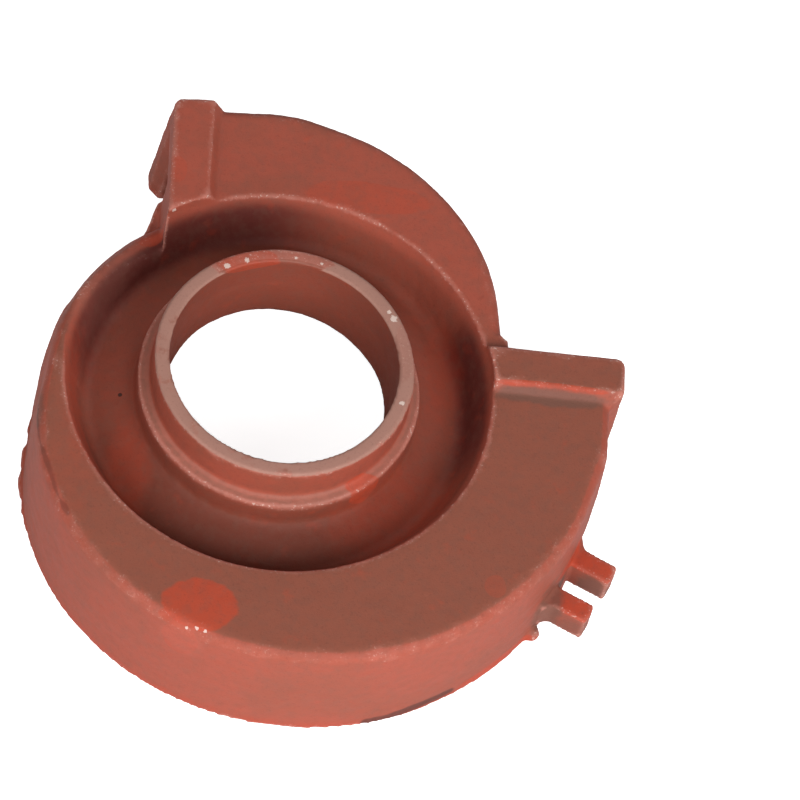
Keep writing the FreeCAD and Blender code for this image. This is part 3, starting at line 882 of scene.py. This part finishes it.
def soft_light(name, power, size, azimuth, elevation, aim):
    """Large round lamp at an azimuth and elevation round the aim."""
    data = bpy.data.lights.new(name, "AREA")
    data.shape = "DISK"
    data.size = size
    data.energy = power
    lamp = bpy.data.objects.new(name, data)
    turn = math.radians(azimuth)
    lift = math.radians(elevation)
    away = Vector((math.sin(turn) * math.cos(lift), -math.cos(turn) * math.cos(lift), math.sin(lift)))
    lamp.location = aim + away * LAMP_DISTANCE
    lamp.rotation_mode = "QUATERNION"
    lamp.rotation_quaternion = (-away).to_track_quat("-Z", "Y")
    bpy.context.scene.collection.objects.link(lamp)


def camera(settings):
    """Camera by its aim, distance, azimuth, elevation and roll."""
    turn = settings.azimuth
    drop = settings.elevation
    ahead = Vector((math.sin(turn) * math.cos(drop), math.cos(turn) * math.cos(drop), -math.sin(drop)))
    level = ahead.cross(Vector((0.0, 0.0, 1.0))).normalized()
    above = level.cross(ahead)
    right = level * math.cos(settings.roll) + above * math.sin(settings.roll)
    up = above * math.cos(settings.roll) - level * math.sin(settings.roll)
    data = bpy.data.cameras.new("camera")
    data.lens = settings.lens
    data.sensor_width = SENSOR_WIDTH
    data.clip_start = 0.05
    data.clip_end = 50.0
    eye = bpy.data.objects.new("camera", data)
    axes = Matrix((right, up, -ahead)).transposed()
    eye.matrix_world = Matrix.Translation(Vector(settings.aim) - ahead * settings.distance) @ axes.to_4x4()
    bpy.context.scene.collection.objects.link(eye)
    bpy.context.scene.camera = eye


def sky(strength):
    """Even light from all round, with a white backdrop where the camera looks past the floor."""
    world = bpy.data.worlds.new("studio")
    bpy.context.scene.world = world
    world.use_nodes = True
    tree = world.node_tree
    tree.nodes.clear()
    seen = tree.nodes.new("ShaderNodeLightPath").outputs["Is Camera Ray"]
    power = tree.nodes.new("ShaderNodeMapRange")
    power.inputs["To Min"].default_value = strength
    power.inputs["To Max"].default_value = 1.0
    background = tree.nodes.new("ShaderNodeBackground")
    background.inputs["Color"].default_value = (1.0, 1.0, 1.0, 1.0)
    output = tree.nodes.new("ShaderNodeOutputWorld")
    tree.links.new(seen, power.inputs["Value"])
    tree.links.new(power.outputs[0], background.inputs["Strength"])
    tree.links.new(background.outputs[0], output.inputs["Surface"])


class CASING_OT_casting(bpy.types.Operator):
    """Build the rough casting in the place of the CAD node"""

    bl_idname = "casing.casting"
    bl_label = "Casting"

    def execute(self, context):
        piece = casting(context.scene.casing_casting)
        piece.data.materials.append(primer_material(context.scene.casing_finish))
        return {"FINISHED"}


class CASING_OT_stage(bpy.types.Operator):
    """Set the floor, the lights, the sky and the camera"""

    bl_idname = "casing.stage"
    bl_label = "Stage"

    def execute(self, context):
        settings = context.scene.casing_stage
        aim = Vector(settings.aim)
        floor(FLOOR_SIZE)
        for name, size, azimuth, elevation in LAMPS:
            soft_light(name, getattr(settings, name), size, azimuth, elevation, aim)
        sky(settings.sky)
        camera(settings)
        context.scene.view_settings.view_transform = "Standard"
        return {"FINISHED"}


class CASING_PT_panel(bpy.types.Panel):
    """Lists the pieces of the casing and their settings"""

    bl_label = "Casing"
    bl_idname = "CASING_PT_panel"
    bl_space_type = "VIEW_3D"
    bl_region_type = "UI"
    bl_category = "Casing"

    def draw(self, context):
        scene = context.scene
        for settings in (scene.casing_casting, scene.casing_finish, scene.casing_stage):
            box = self.layout.box()
            for name in settings.__annotations__:
                box.prop(settings, name)
        self.layout.operator(CASING_OT_casting.bl_idname)
        self.layout.operator(CASING_OT_stage.bl_idname)


CLASSES = (
    CastingSettings, FinishSettings, StageSettings, CASING_OT_casting, CASING_OT_stage, CASING_PT_panel,
)


def register():
    for item in CLASSES:
        bpy.utils.register_class(item)
    bpy.types.Scene.casing_casting = bpy.props.PointerProperty(type=CastingSettings)
    bpy.types.Scene.casing_finish = bpy.props.PointerProperty(type=FinishSettings)
    bpy.types.Scene.casing_stage = bpy.props.PointerProperty(type=StageSettings)


def unregister():
    del bpy.types.Scene.casing_stage
    del bpy.types.Scene.casing_finish
    del bpy.types.Scene.casing_casting
    for item in reversed(CLASSES):
        bpy.utils.unregister_class(item)


def main():
    register()
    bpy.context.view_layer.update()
    bpy.ops.casing.casting()
    bpy.ops.casing.stage()


if __name__ == "__main__":
    main()
